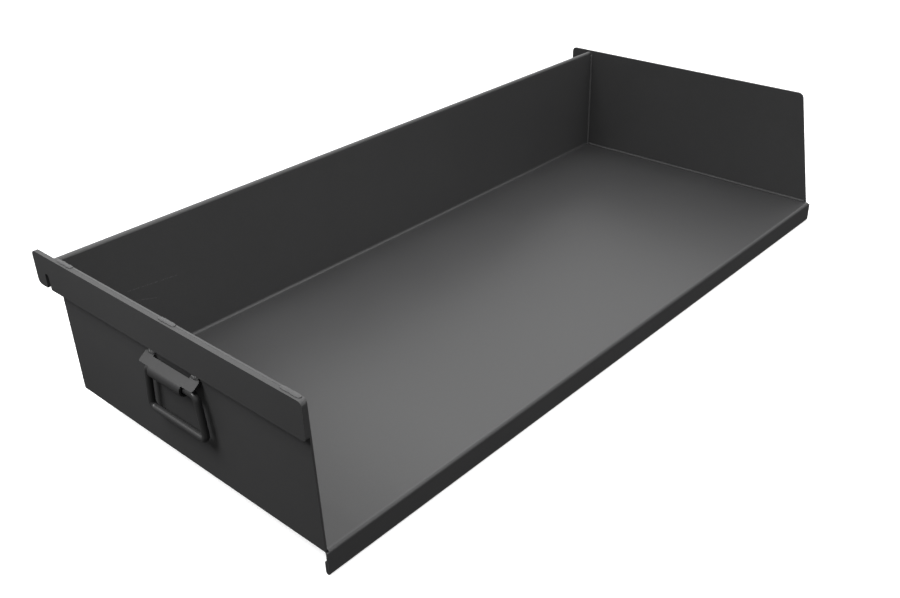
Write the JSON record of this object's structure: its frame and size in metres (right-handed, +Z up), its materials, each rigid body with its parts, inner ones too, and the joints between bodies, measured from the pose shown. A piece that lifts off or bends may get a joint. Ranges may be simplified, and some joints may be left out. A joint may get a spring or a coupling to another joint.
{
  "type": "oil drain pan",
  "caption": "Long welded sheet-steel drain pan with an open, down-turned front edge, hooked ears behind the rear wall and a swinging bail handle on one end.",
  "frame": {"origin": "centre of the whole pan's outline, seen from above, at the level of its lowest edge, the bottom of the front lip", "axes": "+X from the handle end to the far end, -Y out of the open front edge, +Y to the rear wall and its ears, +Z up with the floor level"},
  "size_m": [1.2384, 0.557, 0.2409],
  "materials": {
    "sheet_coat": "charcoal grey powder coat, satin, on folded sheet",
    "bar_coat": "charcoal grey powder coat, satin, on flat bar, lighter along its edges",
    "handle_coat": "charcoal grey powder coat, satin, slightly smoother on round bar",
    "weld_coat": "charcoal grey powder coat over weld ripples"
  },
  "bodies": {
    "pan": {"pan_sheet": "sheet_coat", "end_plate_near": "sheet_coat", "end_plate_far": "sheet_coat", "stiffener_bar": "bar_coat", "handle_bracket": "handle_coat", "weld_seam_near": "weld_coat", "weld_seam_far": "weld_coat", "weld_bar_front": "weld_coat", "weld_bar_middle": "weld_coat", "weld_bar_rear": "weld_coat", "weld_tab_front": "weld_coat", "weld_tab_rear": "weld_coat", "weld_ear_near": "weld_coat"},
    "bail": {"bail_handle": "handle_coat"}
  },
  "joints": [
    {"name": "bail_swing", "type": "hinge", "parent": "pan", "child": "bail", "pos_m": [-0.60995, -0.028, 0.1629], "axis": [0, 1, 0], "range_deg": [-4, 88]}
  ]
}
